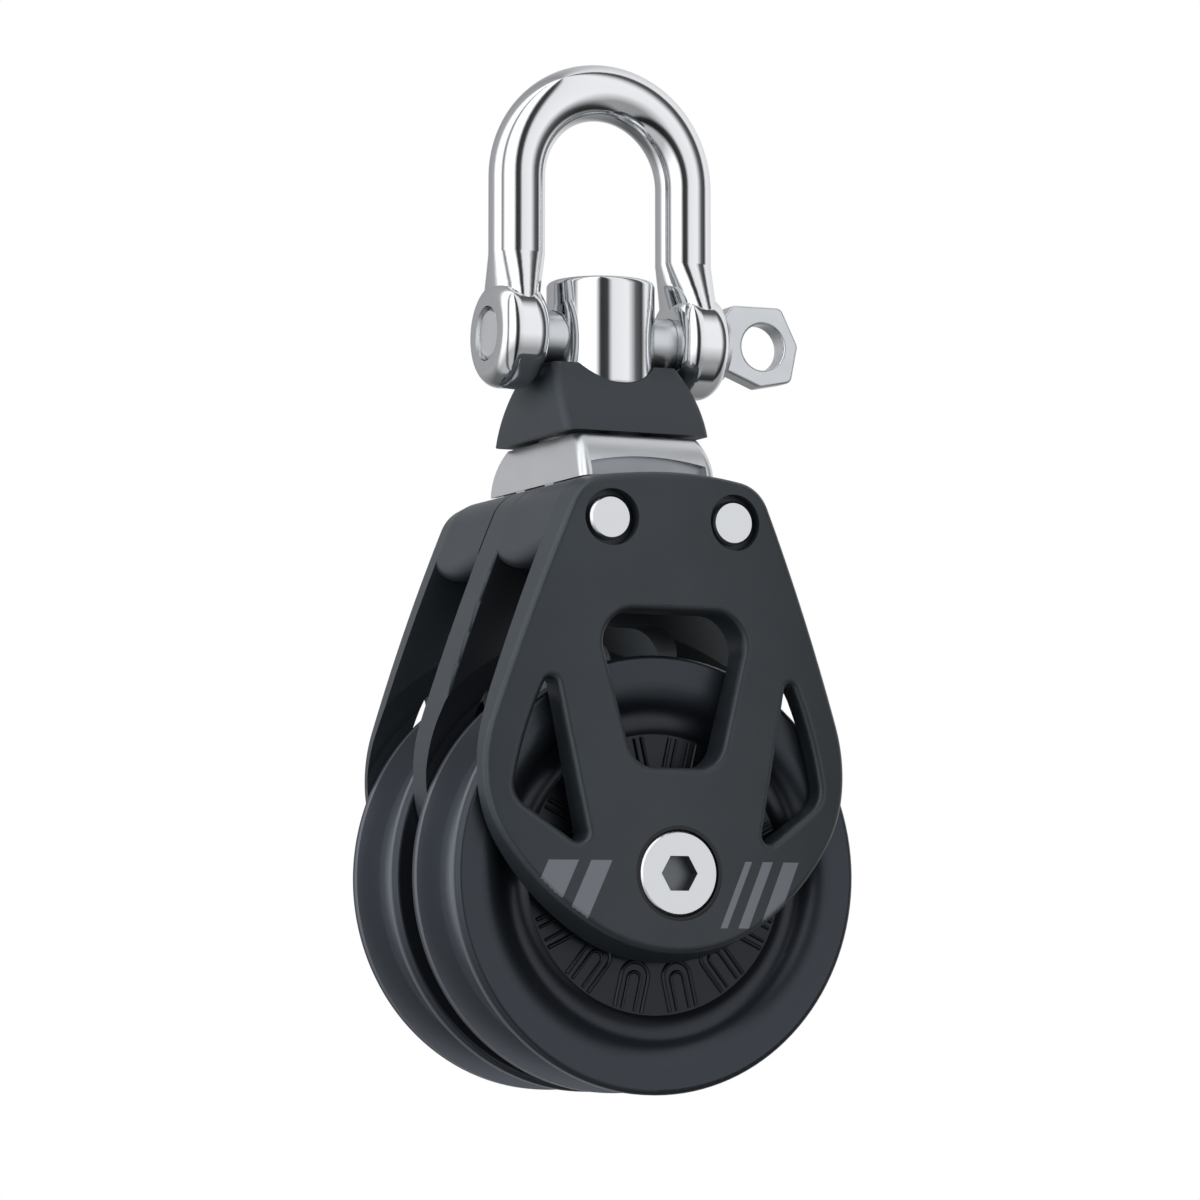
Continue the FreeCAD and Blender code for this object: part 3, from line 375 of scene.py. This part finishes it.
def sheave_ribs(name, body, sheave_y, facing):
    """Pairs of nested arch ribs around one face of a sheave web, as one object on its body."""
    web = sheave_y + facing * WEB_Y
    points, faces = [], []
    count = 0
    for number in range(RIB_PAIRS):
        angle = 2 * math.pi * (number + 0.5) / RIB_PAIRS
        sine, cosine = math.sin(angle), math.cos(angle)
        for inner, half_width, thickness in RIB_ARCHES:
            u, v, rise = arch_rib(inner * MM, half_width * MM, thickness * MM)
            x = u * sine + v * cosine
            z = u * cosine - v * sine + AXLE_Z
            points.append(np.stack([x, web + facing * rise, z], -1).reshape(-1, 3))
            faces += bar_faces(*u.shape, count, facing < 0)
            count += u.size
    mesh = bpy.data.meshes.new(name)
    mesh.from_pydata(np.concatenate(points).tolist(), [], faces)
    mesh.polygons.foreach_set("use_smooth", np.ones(len(mesh.polygons), bool))
    mesh.update()
    mesh.set_sharp_from_angle(angle=math.radians(70))
    ribs = bpy.data.objects.new(name, mesh)
    scene.collection.objects.link(ribs)
    paint(ribs, BLACK_SHEAVE)
    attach(ribs, body)


for end, sign in (("front", -1), ("rear", 1)):
    for face_name, facing in (("outer", sign), ("inner", -sign)):
        sheave_ribs(f"{end}_sheave_{face_name}_ribs", end + "_sheave_body",
                    sign * SHEAVE_Y, facing)


# Studio


def towards(azimuth, elevation):
    """Unit vector from the block towards a place around it; azimuth 0 is -Y, 90 is +X."""
    a, e = math.radians(azimuth), math.radians(elevation)
    return Vector((math.sin(a) * math.cos(e), -math.cos(a) * math.cos(e), math.sin(e)))


def soft_box(name, azimuth, elevation, distance, width, height, power):
    """A rectangular area light aimed at the middle of the block, unseen in reflections."""
    light = bpy.data.lights.new(name, "AREA")
    light.shape = "RECTANGLE"
    light.size, light.size_y = width, height
    light.energy = power
    lamp = bpy.data.objects.new(name, light)
    back = towards(azimuth, elevation)
    lamp.location = Vector((0, 0, -0.07)) + back * distance
    lamp.rotation_euler = (-back).to_track_quat("-Z", "Y").to_euler()
    lamp.visible_glossy = False
    scene.collection.objects.link(lamp)


soft_box("key_left", -95, 25, 0.8, 0.45, 0.7, 4.5)
soft_box("fill_right", 70, 20, 0.9, 0.35, 0.7, 1.5)
soft_box("top", -20, 80, 0.8, 0.6, 0.6, 3.0)

# The room that reflections see: brightness by share of a turn, from behind over the left,
# the front (one half) and the right to behind again.
PANELS = ((0.13, 0.4), (0.17, 1.3), (0.235, 1.5), (0.27, 0.10), (0.31, 1.5), (0.395, 1.5),
          (0.43, 0.03), (0.475, 0.05), (0.50, 0.85), (0.60, 0.95), (0.655, 0.12),
          (0.705, 0.04), (0.74, 0.9), (0.86, 0.7))


def studio_world():
    """White to the camera; to reflections, a room of white panels with dark gaps between them."""
    world = bpy.data.worlds.new("studio")
    world.use_nodes = True
    world.node_tree.nodes.clear()
    direction = add(world, "TexCoord", out="Generated")
    x, y, z = add(world, "SeparateXYZ", (direction,)).node.outputs
    front = add(world, "Math", (y, -1.0), operation="MULTIPLY")
    turn = add(world, "Math", (x, front), operation="ARCTAN2")
    share = add(world, "Math", (turn, 1 / (2 * math.pi), 0.5), operation="MULTIPLY_ADD")
    room = add(world, "ValToRGB", (share,))
    stops = room.node.color_ramp.elements
    for stop in stops:
        stop.color = (0.3, 0.3, 0.31, 1)
    for position, level in PANELS:
        stops.new(position).color = (level, level, level * 1.01, 1)
    low = add(world, "MapRange", {
        "Value": z, "From Min": -0.55, "From Max": -0.05, "To Min": 0.35, "To Max": 1.0})
    glossy = add(world, "LightPath", out="Is Glossy Ray")
    gain = add(world, "Math", (glossy, 0.6, 0.75), operation="MULTIPLY_ADD")
    strength = add(world, "Math", (low, gain), operation="MULTIPLY")
    room = add(world, "Background", {"Color": room, "Strength": strength})
    white = add(world, "Background", {"Color": (1, 1, 1, 1), "Strength": 1.0})
    seen = add(world, "LightPath", out="Is Camera Ray")
    add(world, "OutputWorld", {"Surface": add(world, "MixShader", (seen, room, white))})
    scene.world = world


studio_world()


def pale_floor():
    """A pale disc below the block: it keeps the block's shadow and fades to white outwards.

    Only the camera sees it, and from underneath it is clear, so it never hides the part.
    """
    m = new_material("matt_white_floor")
    x, y, z = place(m)
    fade = add(m, "MapRange", {
        "Value": off_axis(m, x, y), "From Min": FLOOR_PLAIN, "From Max": 0.95 * FLOOR_RADIUS})
    matt = add(m, "BsdfDiffuse", {"Color": rgb("#dadada")})
    white = add(m, "Emission", {"Color": (1, 1, 1, 1), "Strength": 1.0})
    top = add(m, "MixShader", (fade, matt, white))
    under = add(m, "NewGeometry", out="Backfacing")
    clear = add(m, "BsdfTransparent")
    add(m, "OutputMaterial", {"Surface": add(m, "MixShader", (under, top, clear))})

    turn = np.arange(FLOOR_SIDES) * 2 * math.pi / FLOOR_SIDES
    rim = np.stack([np.cos(turn), np.sin(turn), np.zeros(FLOOR_SIDES)], 1) * FLOOR_RADIUS
    mesh = bpy.data.meshes.new("pale_floor")
    mesh.from_pydata((rim + (0, 0, FLOOR_Z)).tolist(), [], [list(range(FLOOR_SIDES))])
    mesh.materials.append(m)
    floor = bpy.data.objects.new("pale_floor", mesh)
    floor.visible_glossy = floor.visible_diffuse = floor.visible_shadow = False
    scene.collection.objects.link(floor)


pale_floor()


def photo_camera():
    """Long lens at the photo's angle, a little below the middle of the block."""
    data = bpy.data.cameras.new("photo_camera")
    data.sensor_width = 36.0
    data.lens = 129.15
    data.shift_x = -0.000415
    data.shift_y = 0.00662
    data.clip_start, data.clip_end = 0.01, 10.0
    camera = bpy.data.objects.new("photo_camera", data)
    back = towards(-25.022, -5.016)
    camera.location = Vector((0, 0, -69.65 * MM)) + back * 607.768 * MM
    camera.rotation_euler = (-back).to_track_quat("-Z", "Y").to_euler()
    scene.collection.objects.link(camera)
    scene.camera = camera


photo_camera()
scene.view_settings.view_transform = "Standard"
